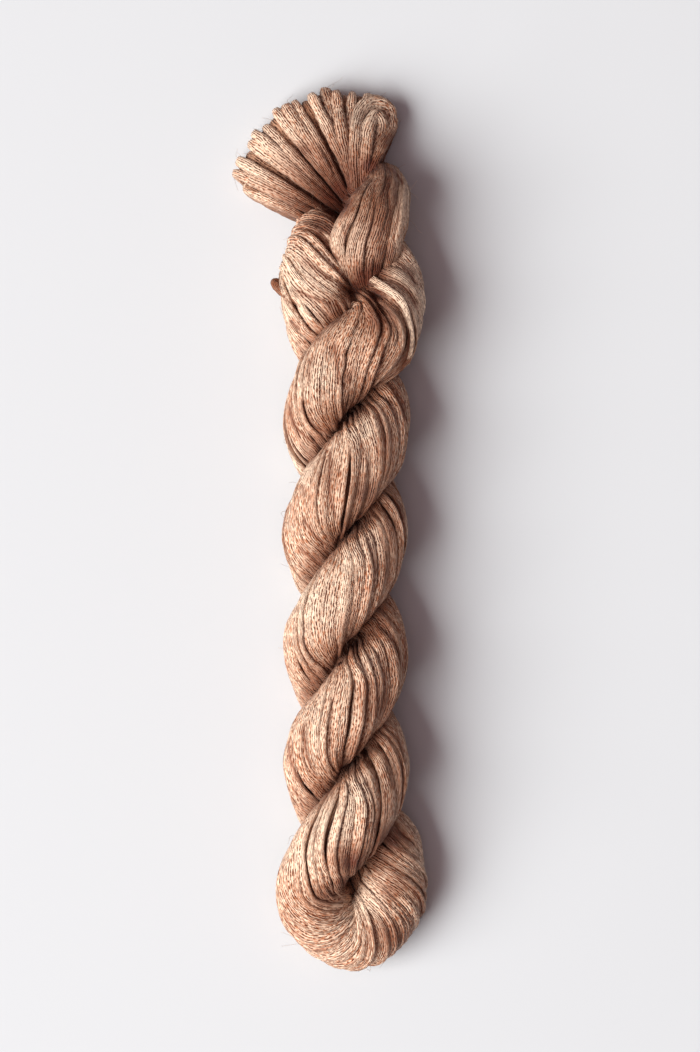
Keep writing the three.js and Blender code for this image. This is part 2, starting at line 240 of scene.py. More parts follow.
# Other places with little light: x, y, radius, height under which they are dark, strength
SHADED_SPOTS = [
    (-2.0, 95.5, 7.0, 26.0, 0.85),
    (3.4, 107.5, 10.0, 22.0, 1.05),
    (3.4, 102.8, 5.6, 40.0, 1.15),
    (-8.0, 106.0, 7.0, 22.0, 0.6),
    (-3.0, 113.0, 5.0, 22.0, 0.8),
    (-8.0, 120.5, 4.5, 30.0, 0.75),
    (15.8, 117.0, 5.0, 40.0, 0.85),
    (13.2, 115.8, 4.6, 40.0, 1.15),
    (10.8, 111.6, 3.4, 40.0, 0.95),
    (8.2, 107.4, 3.4, 40.0, 0.95),
    (18.6, 124.0, 5.0, 40.0, 0.7),
    (11.4, 79.6, 6.0, 40.0, 1.1),
    (8.4, 76.6, 4.6, 40.0, 1.1),
    (14.6, 73.8, 4.8, 40.0, 1.05),
    (14.8, 82.0, 5.0, 40.0, 1.05),
    (17.4, 86.4, 5.0, 40.0, 0.85),
    (16.4, 66.5, 8.0, 40.0, 0.85),
    (1.6, 68.6, 5.0, 40.0, 0.72),
    (-3.6, 62.0, 4.0, 40.0, 0.55),
    (5.6, 47.0, 4.5, 40.0, 0.5),
    (0.6, 16.0, 6.0, 40.0, 0.42),
    (11.0, 11.0, 6.0, 40.0, 0.8),
    (-1.0, -46.0, 6.0, 40.0, 0.25),
    (16.5, -56.0, 9.0, 40.0, 0.6),
    (16.0, -31.4, 4.5, 40.0, 0.85),
    (19.6, -99.0, 6.5, 40.0, 0.95),
    (5.4, -112.8, 5.0, 30.0, 1.05),
    (7.2, -105.2, 6.5, 40.0, 1.0),
    (-1.5, -116.5, 5.5, 40.0, 0.8),
    (20.0, -130.0, 7.0, 40.0, 0.65),
    (20.0, -116.0, 5.0, 40.0, 0.6),
    (24.0, 53.0, 5.0, 40.0, 0.6),
]
# Painted light: places where the yarn is made paler, x, y, radius, strength
PAINTED_LIGHT_SPOTS = [
    (-10.0, 76.0, 12.0, 1.6),
    (-21.0, 122.0, 12.0, 1.7),
    (-4.0, 128.0, 4.0, 1.0),
    (12.0, 132.0, 7.0, 1.5),
    (8.2, 122.0, 4.0, 0.9),
    (8.0, 91.5, 6.5, 1.7),
    (22.0, 105.0, 6.0, 2.0),
    (23.0, 80.6, 6.0, 1.8),
    (27.0, 69.0, 8.0, 1.8),
    (-3.0, 48.0, 6.0, 1.5),
    (14.0, 33.0, 5.0, 1.0),
    (13.0, -4.0, 6.0, 0.8),
    (-10.0, 20.0, 6.0, 2.2),
    (-4.5, -23.0, 10.0, 1.5),
    (5.6, -58.0, 4.0, 0.6),
    (-7.0, -63.0, 8.0, 0.6),
    (12.0, -82.0, 5.0, 0.6),
    (-0.5, -93.0, 8.0, 1.4),
    (-9.0, -104.0, 6.0, 0.9),
    (29.0, -106.0, 6.0, 1.0),
    (11.0, -119.0, 6.5, 1.6),
    (26.0, -93.4, 5.0, 1.2),
]

# The yarn, a flat knitted tape: its width as a share of the room it has, thickness, lumps, and mesh
WIDTH_SHARE = 0.62
LEAST_HALF_WIDTH = 1.3
MOST_HALF_WIDTH = 2.5
HALF_THICK = 0.72
FLATNESS = 0.7
LUMP_GAP = 2.6
LUMP_SIZE = 0.11
STEP = 0.8
SIDES = 10
INSIDE_STEP = 2 * STEP
INSIDE_SIDES = 6
COURSE_STEPS = 40
# Yarns in each bundle, how loosely they lie, the length in which they turn once, and the inner layer's depth
PLY_YARNS = 23
INSIDE_YARNS = 18
STRAP_YARNS = 21
CORE_YARNS = 12
PLY_LOOSE = 1.0
INSIDE_LOOSE = 0.8
STRAP_LOOSE = 0.4
CORE_LOOSE = 0.6
FREE_LOOSE = 0.5
PLY_TURN = 46.0
LAYER = 1.9
# Unevenness of the yarns: size of a random walk, and millimetres between its knots
WIDTH_SLOW = (0.18, 18)
WIDTH_QUICK = (0.09, 5)
THICK_WAVE = (0.18, 10)
ROLL_WAVE = (0.8, 26)
TONE_WAVE = (0.3, 16)
SLIDE_SLOW = (1.4, 44)
SLIDE_QUICK = (0.5, 15)
LIFT_SLOW = (0.42, 36)
LIFT_QUICK = (0.2, 11)
# Room left under the skin for the lift, unevenness of the spacing, and tone of each yarn
LIFT_ROOM = 0.35
PLACE_UNEVEN = 0.35
TONE_OF_YARN = 0.2

# Shade of the strap's yarns that show, from the left, then of the others, and its change from the foot up
STRAP_SHADES = (0.33, 0.4, 0.46, 0.58, 0.46, 0.3, 0.14, 0.05)
STRAP_SHADE = 0.24
STRAP_FOOT_Y = 88.0
STRAP_RISE = 14.0
STRAP_FOOT_SHARE = 0.8
STRAP_TOP_MORE = 0.4

# Fan: where its loops meet at the neck, heights, widths and tapers of a loop, its shade and its spread
FAN_NECK = (7.6, 100.0)
FAN_RIM_HEIGHT = 6.4
FAN_RIM_TAPER = 4.0
FAN_NECK_TAPER = 32.0
FAN_RIM_WIDTH = 0.66
FAN_WIDER = 0.28
FAN_NECK_WIDTH = 0.38
FAN_THICK = 1.4
FAN_NECK_SHADE = 1.05
FAN_SHADE_REACH = 0.95
FAN_LOOP_SHADE = 0.18
FAN_STATIONS = 130
FAN_MIDDLE_WAY = 116.0
FAN_HALF_SPREAD = 50.0
FAN_EDGE_HEIGHT = 0.68
# Layers of loops: share of the height that they keep, and millimetres taken off their reach
FAN_TOP = (1.0, 0.0)
FAN_BETWEEN = (0.72, 1.6)
FAN_INSIDE = (0.42, 3.0)
# Each loop's way in degrees, reach, sideways start, bend, lift and half width, from the left round
FAN_LOOPS = [
    (163.6, 36.8, 8.3, 0.0, 0.0, 2.0),
    (158.4, 41.4, 4.8, 0.0, 0.8, 2.2),
    (153.0, 42.0, 2.6, 0.6, 0.6, 2.1),
    (143.4, 41.6, 0.8, 0.4, 0.0, 2.2),
    (139.0, 42.6, 0.4, 0.6, 0.9, 2.3),
    (133.6, 41.6, 0.2, 0.6, 0.2, 2.2),
    (125.6, 43.4, -1.2, 0.2, 0.2, 2.3),
    (121.0, 43.0, -1.6, 0.3, 0.9, 2.2),
    (116.8, 42.6, -2.0, 0.4, 0.3, 2.0),
    (108.8, 42.4, -3.2, -0.4, 1.3, 2.3),
    (102.4, 43.4, -1.8, 0.0, -1.2, 2.2),
    (97.8, 41.8, -1.4, 0.8, 0.7, 2.3),
    (90.4, 40.8, 0.0, 0.8, -0.4, 2.2),
    (83.0, 40.8, 0.0, 0.5, -1.6, 2.1),
    (75.6, 40.0, 0.0, 0.0, -1.8, 2.1),
    (67.6, 35.8, 0.0, 0.0, -0.8, 2.0),
]
# Upright course of a loop: share of its reach, millimetres past that, height
FAN_COURSE = np.array([
    (0.0, -6.0, 8.0),
    (0.0, 5.0, 10.6),
    (0.45, 0.0, 16.8),
    (0.68, 0.0, 15.6),
    (1.0, -6.5, 11.6),
    (1.0, -2.2, 9.4),
    (1.0, -1.0, 6.4),
    (1.0, -2.6, 3.0),
    (1.0, -7.5, 1.2),
    (0.4, 0.0, 1.2),
    (0.0, 5.0, 4.0),
])

# Loops that lie over on their flat side at the fan's right: thickness, shade from the foot up, and facing
TURNED_THICK = 1.1
TURNED_FOOT_SHADE = 0.84
TURNED_PALE_Y = 132.0
TURNED_SHADE_LENGTH = 20.0
TURNED_FACE = np.array([0.25, 0.1, 1.0])
# x, y, z and half width along each
TURNED_LOOPS = [
    [
        (8.6, 106.0, 12.5, 1.6),
        (8.4, 112.0, 15.8, 2.3),
        (8.4, 124.2, 17.6, 2.7),
        (9.8, 133.4, 13.0, 2.6),
        (14.0, 137.2, 9.6, 2.5),
        (18.6, 135.4, 7.6, 2.3),
        (19.8, 130.4, 9.6, 2.1),
        (17.2, 123.6, 14.4, 1.9),
        (14.4, 117.6, 16.2, 1.6),
        (11.6, 110.0, 15.5, 1.4),
    ],
    [
        (10.6, 108.0, 13.5, 1.2),
        (11.2, 118.0, 17.2, 1.9),
        (12.4, 128.0, 15.4, 2.2),
        (14.8, 133.2, 12.0, 2.2),
        (16.8, 129.4, 12.4, 1.8),
        (14.8, 122.0, 15.0, 1.6),
        (12.6, 112.0, 14.5, 1.2),
    ],
]

# Loose yarns: one over the right shoulder, a loop out of the left bulb, and one at the fan's left tip.
# Thickness, tone and shade of each, share of the grooves' shade, and places with half widths
LOOSE_THICK = 0.6
LOOSE_PALE = np.array([[0.8], [-1.5], [0.4]])
LOOSE_SHADE = np.array([[0.0], [0.5], [0.0]])
LOOSE_SUNK = 0.25
LOOSE_STATIONS = 60
LOOSE_YARNS = [
    [
        (11.8, 81.8, 13.0, 0.7),
        (13.2, 79.6, 22.6, 1.0),
        (15.6, 77.3, 27.2, 1.3),
        (18.4, 75.5, 29.4, 1.35),
        (21.6, 73.2, 30.0, 1.25),
        (24.0, 69.6, 29.9, 1.1),
        (25.6, 65.0, 28.8, 0.95),
        (26.3, 60.4, 27.2, 0.85),
        (26.0, 56.2, 24.4, 0.75),
        (25.0, 52.8, 20.5, 0.7),
    ],
    [
        (-10.0, 71.6, 24.0, 0.9),
        (-13.6, 73.8, 22.8, 1.0),
        (-16.8, 76.8, 19.0, 1.2),
        (-17.6, 78.8, 16.8, 1.2),
        (-15.6, 78.6, 15.0, 1.1),
        (-11.0, 76.0, 13.0, 0.9),
    ],
    [
        (-17.0, 107.6, 9.4, 1.0),
        (-24.4, 110.8, 8.6, 1.1),
        (-27.2, 110.6, 7.2, 1.0),
        (-26.4, 108.8, 5.6, 1.0),
        (-18.0, 105.6, 5.4, 1.0),
    ],
]

# Fine fibres that stand off the yarns: number, share of the plies among their roots, size, and bends
FIBRE_COUNT = 900
FIBRE_SHARE_OF_PLIES = 4
FIBRE_RADIUS = 0.05
FIBRE_TAPER = (1.1, 0.6)
FIBRE_SIDES = 3
FIBRE_STEPS = 7
FIBRE_LEAST = 1.5
FIBRE_MOST = 6.0
FIBRE_DRIFT = 0.35
FIBRE_SWAY = 0.12
FIBRE_OUTWARD = 0.45
FIBRE_BEND = 0.25
FIBRE_WAVES = 5

# Corners of a face: steps along the yarn and round it
FACE_CORNERS = ((0, 0), (0, 1), (1, 1), (1, 0))
# Margins of the bake layout, the place of the end caps in it, and the most that a yarn's grain is shifted
STRIP_EDGE = 0.01
LANE_EDGE = 0.05
CAP_STRIP = 0.004
FIRST_RUN_MOST = 50

# Noises of the material: waves for each millimetre along the yarn, waves round it, and detail
WOBBLE_NOISE = (0.25, 4.0, 1.0)
SHIVER_NOISE = (0.9, 9.0, 0.0)
SLIT_NOISE = (0.75, 7.3, 1.0)
GRAIN_NOISE = (0.5, 34.0, 4.0)
CLOUD_NOISE = (0.12, 1.5, 2.0)
PATCH_NOISE = (0.11, 3.0, 1.0)
EDGE_NOISE = (0.035, 0.5, 1.0)
# Ramps of the material: low and high value, and what they become
SLIT_RAMP = (0.45, 0.57)
BRIGHT_RAMP = (0.405, 0.59)
WARM_RAMP = (0.46, 0.76, 0.0, 0.18)
PATCH_RAMP = (0.35, 0.62, 0.5, 1.0)
EDGE_RAMP = (0.18, 0.29)
EDGE_NOISE_RANGE = (0.4, 0.6)
# Painted shade: the dark furrow lines, and the turn of the colour towards the strand colour and then the
# shade colour where the depth attribute is high
FURROW_RAMP = (0.2, 0.9, 0.0, 0.82)
WARM_SHADE_RAMP = (0.0, 0.6, 0.0, 0.55)
SHADE_RAMP = (0.16, 1.0, 0.0, 0.94)
# Knitted cords: number round the yarn, sway, and half widths of slits and seams as shares of a cord
YARN_WALES = 18
WIDE_WALES = 20
WOBBLE = 1.2
SHIVER = 0.3
SLIT_WIDTH = 0.2
SEAM_WIDTH = 0.3
# Painted shade in the seams between cords
SEAM_DARK = 0.12
BELL_BASE = 2.718
# Least and most shade at the edges of a tape
YARN_EDGE_SHADE = (0.15, 0.66)
WIDE_EDGE_SHADE = (0.4, 0.95)
# How the tone, which holds painted light as well as each yarn's own tone, brightens a yarn and makes it
# warmer
TONE_BRIGHT = 0.08
TONE_WARM = -0.12
# Relief and sheen
GRAIN_HEIGHT = 0.5
SLIT_HEIGHT = -0.7
SEAM_HEIGHT = -0.28
BUMP_STRENGTH = 0.8
BUMP_DISTANCE = 0.0006
ROUGHNESS = 0.5
SPECULAR = 0.2
SHEEN = 0.05
SHEEN_ROUGHNESS = 0.4
# Colours of the linen: strand, pale and ruddy are its own; the dark gap colour is painted shade for slits,
# seams, tape edges and furrows, and the shade colour is painted deep shade
LINEN = {
    "strand": (0.44, 0.162, 0.072, 1),
    "pale": (0.935, 0.695, 0.505, 1),
    "gap_shade": (0.145, 0.028, 0.0125, 1),
    "ruddy": (0.42, 0.118, 0.045, 1),
    "shade": (0.085, 0.0155, 0.0065, 1),
}
# Darker copy of the linen's colours for the inner layers: painted shade for yarns that lie deep
PAINTED_SHADE_LINEN = {
    "strand": (0.28, 0.115, 0.06, 1),
    "pale": (0.46, 0.25, 0.15, 1),
    "gap_shade": (0.05, 0.015, 0.011, 1),
    "ruddy": (0.24, 0.08, 0.04, 1),
    "shade": (0.05, 0.013, 0.007, 1),
}

# Floor and lights, in metres and watts
FLOOR_HALF = 3.0
FLOOR_COLOUR = (0.618, 0.629, 0.636, 1)
FLOOR_ROUGHNESS = 0.9
WINDOW_PLACE = (-3.6, -1.6, 3.4)
WINDOW_SIZE = 4.4
WINDOW_POWER = 578.0
WINDOW_COLOUR = (0.98, 1.0, 1.0)
CEILING_PLACE = (-0.3, 0.0, 2.5)
CEILING_SIZE = 2.0
CEILING_POWER = 11.0
FILL_COLOUR = (1.0, 0.75, 0.8)
FILL_STRENGTH = 0.1
# Camera: the photo's size, its scale, the pixel at the frame's origin, height in metres, sensor
PHOTO_PIXELS = (700, 1052)
MM_PER_PIXEL = 0.32
ORIGIN_PIXEL = (329.5, 528.5)
CAMERA_HEIGHT = 1.0
SENSOR_HEIGHT = 36.0


def smooth(t):
    """Eases t from 0 to 1."""
    return t * t * (3 - 2 * t)


def rise(value, start, length):
    """0 up to start, 1 from length past it on, and eased between them."""
    return smooth(np.clip((value - start) / length, 0, 1))


def unit(v):
    """Vectors v at length 1."""
    return v / np.maximum(np.linalg.norm(v, axis=-1, keepdims=True), TINY)


def heading(degrees):
    """Level ways at degrees from +X: ahead, and aside to its left."""
    turn = math.radians(degrees)
    ahead = np.array([math.cos(turn), math.sin(turn), 0])
    aside = np.array([-ahead[1], ahead[0], 0])
    return ahead, aside


def lengths(points):
    """Length run along each polyline up to each of its points."""
    steps = np.linalg.norm(np.diff(points, axis=-2), axis=-1)
    return np.concatenate([np.zeros(steps.shape[:-1] + (1,)), np.cumsum(steps, axis=-1)], -1)


def resample(places, run, columns):
    """Values of columns, given at run, read at places."""
    return np.stack([np.interp(places, run, column) for column in columns.T], 1)


def wander(count, stations, gap):
    """Smooth random walks between -1 and 1 for count yarns, with a knot every gap millimetres."""
    knots = int((stations[-1] - stations[0]) / gap) + 3
    values = rng.uniform(-1, 1, (count, knots))
    place = (stations - stations[0]) / gap
    left = place.astype(int)
    blend = smooth(place - left)
    return values[:, left] * (1 - blend) + values[:, left + 1] * blend


def uneven(count, stations, *waves):
    """Sum of random walks for count yarns; each wave is its size and the gap between its knots."""
    return sum(size * wander(count, stations, gap) for size, gap in waves)


def curve_through(points, steps):
    """Points and tangents of a smooth curve through points, with steps samples from each to the next."""
    points = np.array(points, float)
    p = np.vstack([2 * points[0] - points[1], points, 2 * points[-1] - points[-2]])
    gap = np.sqrt(np.linalg.norm(np.diff(p, axis=0), axis=1))
    place = np.linspace(0, len(points) - 1, (len(points) - 1) * steps + 1)
    i = np.minimum(place.astype(int), len(points) - 2)
    t = (place - i)[:, None]
    before, here, after = gap[i][:, None], gap[i + 1][:, None], gap[i + 2][:, None]
    p0, p1, p2, p3 = p[i], p[i + 1], p[i + 2], p[i + 3]
    leave = here * ((p1 - p0) / before - (p2 - p0) / (before + here) + (p2 - p1) / here)
    reach = here * ((p2 - p1) / here - (p3 - p1) / (here + after) + (p3 - p2) / after)
    square = 3 * (p2 - p1) - 2 * leave - reach
    cube = 2 * (p1 - p2) + leave + reach
    return p1 + t * (leave + t * (square + t * cube)), unit(leave + t * (2 * square + 3 * t * cube))


class Bundle:
    """A bundle of yarn that follows rows and winds round a spine, sampled every step along its middle."""

    SAMPLES_PER_ROW = 24

    def __init__(self, rows, spine, step=STEP):
        rows = np.array(rows)
        centre, along = curve_through(rows[:, :3], self.SAMPLES_PER_ROW)
        place = np.linspace(0, len(rows) - 1, len(centre))
        row = np.minimum(place.astype(int), len(rows) - 2)
        blend = smooth(place - row)[:, None]
        sizes = rows[row, 3:] * (1 - blend) + rows[row + 1, 3:] * blend
        rising = np.array(spine)[::-1]
        level = np.clip(centre[:, 1], rising[0, 1], rising[-1, 1])
        away = centre - resample(level, rising[:, 1], rising)
        away = unit(away - along * np.sum(away * along, axis=1, keepdims=True))
        run = lengths(centre)
        self.stations = np.arange(0, run[-1], step)
        self.centre = resample(self.stations, run, centre)
        self.along = unit(resample(self.stations, run, along))
        self.away = unit(resample(self.stations, run, away))
        self.beside = np.cross(self.along, self.away)
        self.across, self.side, self.inner, self.twist = resample(self.stations, run, sizes).T
        self.turned = np.cumsum(self.twist) * step

    def skin(self, angle, depth):
        """Points at depth under the skin and the skin's normals there, for yarns by stations."""
        c, s = np.cos(angle), np.sin(angle)
        across = self.across * np.where(c < 0, self.inner, 1.0)
        sag = np.array([1, 1, SAG])
        reach = (across * c)[..., None] * self.away + (self.side * s)[..., None] * self.beside
        normal = (c / across)[..., None] * self.away + (s / self.side)[..., None] * self.beside
        normal = unit(normal / sag)
        return self.centre + reach * sag - depth[..., None] * normal, normal


def wound_rows(start_turn):
    """Rows of a wound ply from the crown below the ring down to the last crown above the bight."""
    half_turns = np.arange((LOBE_COUNT - 1) * ROWS_PER_HALF_PITCH + 1) / ROWS_PER_HALF_PITCH
    turn = start_turn - half_turns * math.pi
    full = np.interp(half_turns, np.arange(LOBE_COUNT), LOBE_FULL)
    shift = np.interp(half_turns, np.arange(LOBE_COUNT), LOBE_SHIFT)
    x = AXIS_X + shift + PLY_OFFSET * full * np.sin(turn)
    y = TOP_CROWN_Y - half_turns * HALF_PITCH
    z = AXIS_Z + SAG * PLY_OFFSET * full * np.cos(turn)
    same = np.ones(len(x))
    return np.stack([x, y, z, PLY_ACROSS * full, PLY_SIDE * full, PRESSED * same, same], 1)


def furrow_near(places):
    """Nearest furrow to each of places.

    Gives the distance to it, below 0 on its right, the way off it, and how close it is, from 0 to 1.
    """
    flat = places.reshape(-1, 3)
    least = np.full(len(flat), np.inf)
    off = np.full(len(flat), 2 * FURROW_REACH)
    close = np.zeros(len(flat))
    way = np.zeros((len(flat), 2))
    for strength, points in FURROWS:
        line, _ = curve_through(points, FURROW_STEPS)
        run = lengths(line)
        low = line.min(0) - 2 * FURROW_REACH
        high = line.max(0) + 2 * FURROW_REACH
        rows = np.flatnonzero(np.all((flat[:, :2] > low) & (flat[:, :2] < high), axis=1))
        for k, start in enumerate(line[:-1]):
            length = run[k + 1] - run[k]
            ahead = (line[k + 1] - start) / length
            aside = np.array([-ahead[1], ahead[0]])
            from_start = flat[rows, :2] - start
            along = np.clip(from_start @ ahead, 0, length)
            gap = np.linalg.norm(from_start - along[:, None] * ahead, axis=1)
            nearer = gap < least[rows]
            here = rows[nearer]
            side = np.where(from_start[nearer] @ aside > 0, 1, -1)
            share = (run[k] + along[nearer]) / run[-1]
            taper = rise(np.minimum(share, 1 - share), 0, FURROW_FADE)
            least[here] = gap[nearer]
            off[here] = side * gap[nearer]
            way[here] = aside
            close[here] = strength * taper * np.exp(-(gap[nearer] / FURROW_REACH) ** 2)
    close *= rise(flat[:, 2], FURROW_LEAST_Z, FURROW_RISE)
    shape = places.shape[:-1]
    return off.reshape(shape), way.reshape(shape + (2,)), close.reshape(shape)


def gather(points, hollows):
    """Draws yarns on the upper side together in the grooves, and sinks the hollows and furrows."""
    way = np.array(GATHER_WAY)
    upper = rise(points[..., 2], GATHER_LEAST_Z, GATHER_RISE)
    for spot in GROOVE_SPOTS + [RING_GATHER]:
        off = points[..., :2] - np.array(spot)
        near = np.exp(-np.sum(off * off, axis=-1) / GATHER_REACH ** 2)
        pull = GATHER_PULL * near * upper * (off @ way)
        points[..., :2] -= pull[..., None] * way
    for x, y, degrees, half_length, half_width, depth in hollows:
        ahead, aside = heading(degrees)
        off = points[..., :2] - np.array([x, y])
        near = np.exp(-((off @ ahead[:2]) / half_length) ** 2 - ((off @ aside[:2]) / half_width) ** 2)
        points[..., 2] -= depth * near * upper
    off, way, close = furrow_near(points)
    level = close * rise(points[..., 2], FURROW_SINK_Z, FURROW_RISE)
    points[..., :2] += (FURROW_PUSH * level * np.tanh(FURROW_STEEP * off))[..., None] * way
    points[..., 2] -= FURROW_SINK * level
    return points


def tapes(points, normals, half_width, half_thick, roll, sides=SIDES):
    """Rings of flat tapes along points, their flat side to normals: yarns, stations, sides, xyz."""
    along = unit(np.gradient(points, axis=1))
    across = unit(np.cross(along, normals))
    up = np.cross(across, along)
    cos, sin = np.cos(roll)[..., None], np.sin(roll)[..., None]
    turned = cos * across + sin * up
    raised = cos * up - sin * across
    angle = 2 * math.pi * np.arange(sides) / sides - math.pi / 2
    flat_cos = np.sign(np.cos(angle)) * np.abs(np.cos(angle)) ** FLATNESS
    flat_sin = np.sign(np.sin(angle)) * np.abs(np.sin(angle)) ** FLATNESS
    wide = (half_width[..., None] * flat_cos)[..., None] * turned[:, :, None]
    thick = (half_thick[..., None] * flat_sin)[..., None] * raised[:, :, None]
    return points[:, :, None] + wide + thick


def along_groove(places, spot):
    """How far places lie along the groove through spot, and how far above it."""
    ahead = np.array(GATHER_WAY)
    aside = np.array([-ahead[1], ahead[0]])
    off = places[:, :2] - np.array(spot)
    return off @ ahead, off @ aside


def lit_shoulder(places):
    """1 on the lit shoulders of the lobes below the grooves, falling off round them."""
    lit = np.zeros(len(places))
    for spot in GROOVE_SPOTS:
        run, over = along_groove(places, spot)
        below = (over + GROOVE_LIT_OFF) / GROOVE_LIT_WIDTH
        lit += np.exp(-below ** 2 - (run / GROOVE_LIT_LENGTH) ** 2)
    return lit


def round_spot(places, x, y, radius):
    """1 at x and y, falling off over radius."""
    return np.exp(-((places[:, 0] - x) ** 2 + (places[:, 1] - y) ** 2) / radius ** 2)


def painted_shade(places):
    """Painted shade: 0 in full light and about 1 in the deepest shade of the grooves, the band and the
    shaded spots.
    """
    off = np.hypot(places[:, 0] - AXIS_X, (places[:, 2] - AXIS_Z) / SAG)
    on_rope = rise(ROPE_HALF_LENGTH - np.abs(places[:, 1] - ROPE_MIDDLE_Y), 0, ROPE_FADE)
    depth = ROPE_SHADE * on_rope * rise(CROWN_REACH - off, 0, CROWN_REACH - GROOVE_REACH)
    depth = depth * (1 - GROOVE_LIT * lit_shoulder(places))
    band = np.exp(-((places[:, 0] - AXIS_X - BAND_OFF) / BAND_WIDTH) ** 2)
    depth = np.maximum(depth, BAND_SHADE * on_rope * band)
    upper = rise(places[:, 2], GROOVE_SHADE_LEAST_Z, GROOVE_SHADE_RISE)
    for spot in GROOVE_SPOTS:
        run, over = along_groove(places, spot)
        reach = np.where(over > 0, GROOVE_SHADE_ABOVE, GROOVE_SHADE_BELOW)
        dives = rise(run, np.where(over > 0, -GROOVE_SHADE_RAMP, 0), GROOVE_SHADE_RAMP)
        near = dives * np.exp(-(over / reach) ** 2 - (run / GROOVE_SHADE_LENGTH) ** 4)
        deep = GROOVE_SHADE + GROOVE_SHADE_FAR * rise(run, GROOVE_SHADE_RAMP / 2, GROOVE_SHADE_RAMP)
        depth = np.maximum(depth, deep * near * upper)
    for x, y, radius, top, strength in SHADED_SPOTS:
        near = round_spot(places, x, y, radius)
        depth = np.maximum(depth, strength * near * np.clip(top - places[:, 2], 0, 1))
    return depth


def painted_light(places):
    """Painted light: how much paler than elsewhere the yarn is made at places, on the lit shoulders and in
    the spots.
    """
    pale = GROOVE_LIT * lit_shoulder(places)
    for x, y, radius, strength in PAINTED_LIGHT_SPOTS:
        pale += strength * round_spot(places, x, y, radius)
    return pale


def face_grid(yarns, stations, sides):
    """Yarn, station and side of each face along the tapes."""
    return np.meshgrid(np.arange(yarns), np.arange(stations - 1), np.arange(sides), indexing="ij")


def tape_faces(yarns, stations, sides):
    """Vertex at each face corner, the end caps last, and the corner at which each face starts."""
    yarn, station, side = face_grid(yarns, stations, sides)
    corners = [(yarn * stations + station + j) * sides + (side + k) % sides for j, k in FACE_CORNERS]
    quads = np.stack(corners, -1)
    first = (np.arange(yarns) * stations * sides)[:, None] + np.arange(sides)
    last = first + (stations - 1) * sides
    caps = np.concatenate([first[:, ::-1], last])
    quad_starts = np.arange(0, quads.size, len(FACE_CORNERS))
    cap_starts = quads.size + np.arange(0, caps.size, sides)
    return np.concatenate([quads.ravel(), caps.ravel()]), np.concatenate([quad_starts, cap_starts])


def tape_layouts(run, sides):
    """Places of each face corner along and round its yarn, and in the bake layout, a lane for each yarn."""
    yarns, stations = run.shape
    yarn, station, side = face_grid(yarns, stations, sides)
    along = np.stack([run[yarn, station + j] for j, k in FACE_CORNERS], -1)
    round_yarn = np.stack([(side + k) / sides for j, k in FACE_CORNERS], -1)
    strip = np.stack([(station + j) / (stations - 1) for j, k in FACE_CORNERS], -1)
    strip = STRIP_EDGE + (1 - 2 * STRIP_EDGE) * strip
    lane = (yarn[..., None] + LANE_EDGE + (1 - 2 * LANE_EDGE) * round_yarn) / yarns
    cap_along = np.repeat(np.concatenate([run[:, 0], run[:, -1]]), sides)
    cap_strip = np.repeat([CAP_STRIP, 1 - CAP_STRIP], yarns * sides)
    cap_lane = np.repeat((np.tile(np.arange(yarns), 2) + 0.5) / yarns, sides)
    yarn_faces = np.stack([along, round_yarn], -1).reshape(-1, 2)
    yarn_caps = np.stack([cap_along, np.zeros_like(cap_along)], -1)
    bake_faces = np.stack([strip, lane], -1).reshape(-1, 2)
    bake_caps = np.stack([cap_strip, cap_lane], -1)
    return np.concatenate([yarn_faces, yarn_caps]), np.concatenate([bake_faces, bake_caps])


def paint(mesh, name, values):
    """Gives each vertex a value that the material reads."""
    mesh.attributes.new(name, "FLOAT", "POINT").data.foreach_set("value", values)


def add_piece(name, rings, tone, material, shade=0.0, sunk=1.0):
    """Mesh of many closed tapes, with its bake layout, yarn coordinates, tone with painted light, and
    painted shade.

    The painted shade is at least shade; sunk says how much of the grooves' painted shade comes on the piece.
    """
    yarns, stations, sides = rings.shape[:3]
    places = rings.reshape(-1, 3).copy()
    places[:, 2] = np.maximum(places[:, 2], 0)
    vertices, starts = tape_faces(yarns, stations, sides)
    run = lengths(rings.mean(2)) + rng.uniform(0, FIRST_RUN_MOST, (yarns, 1))
    yarn_uv, bake_uv = tape_layouts(run, sides)

    mesh = bpy.data.meshes.new(name)
    mesh.vertices.add(len(places))
    mesh.vertices.foreach_set("co", (places * MM).ravel())
    mesh.loops.add(len(vertices))
    mesh.loops.foreach_set("vertex_index", vertices.astype(np.int32))
    mesh.polygons.add(len(starts))
    mesh.polygons.foreach_set("loop_start", starts.astype(np.int32))
    mesh.polygons.foreach_set("use_smooth", np.ones(len(starts), bool))
    mesh.uv_layers.new(name="OFBake").data.foreach_set("uv", bake_uv.ravel())
    mesh.uv_layers.new(name="Yarn").data.foreach_set("uv", yarn_uv.ravel())

    # Painted shade goes into the depth attribute, and painted light goes with each yarn's own tone into the
    # tone attribute; the furrow lines are painted shade as well
    off, _, close = furrow_near(places)
    depth = np.maximum(painted_shade(places), FURROW_SHADE * close)
    least_painted_shade = np.repeat(np.broadcast_to(shade, tone.shape).ravel(), sides)
    paint(mesh, "tone", np.repeat(tone.ravel(), sides) + painted_light(places))
    paint(mesh, "depth", np.maximum(sunk * depth, least_painted_shade))
    paint(mesh, "furrow_off", off)
    paint(mesh, "furrow_close", sunk * close)
    mesh.update(calc_edges=True)
    mesh.validate()
    mesh.materials.append(material)
    piece = bpy.data.objects.new(name, mesh)
    bpy.context.scene.collection.objects.link(piece)
    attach(piece, BODY)
    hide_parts(NODE)


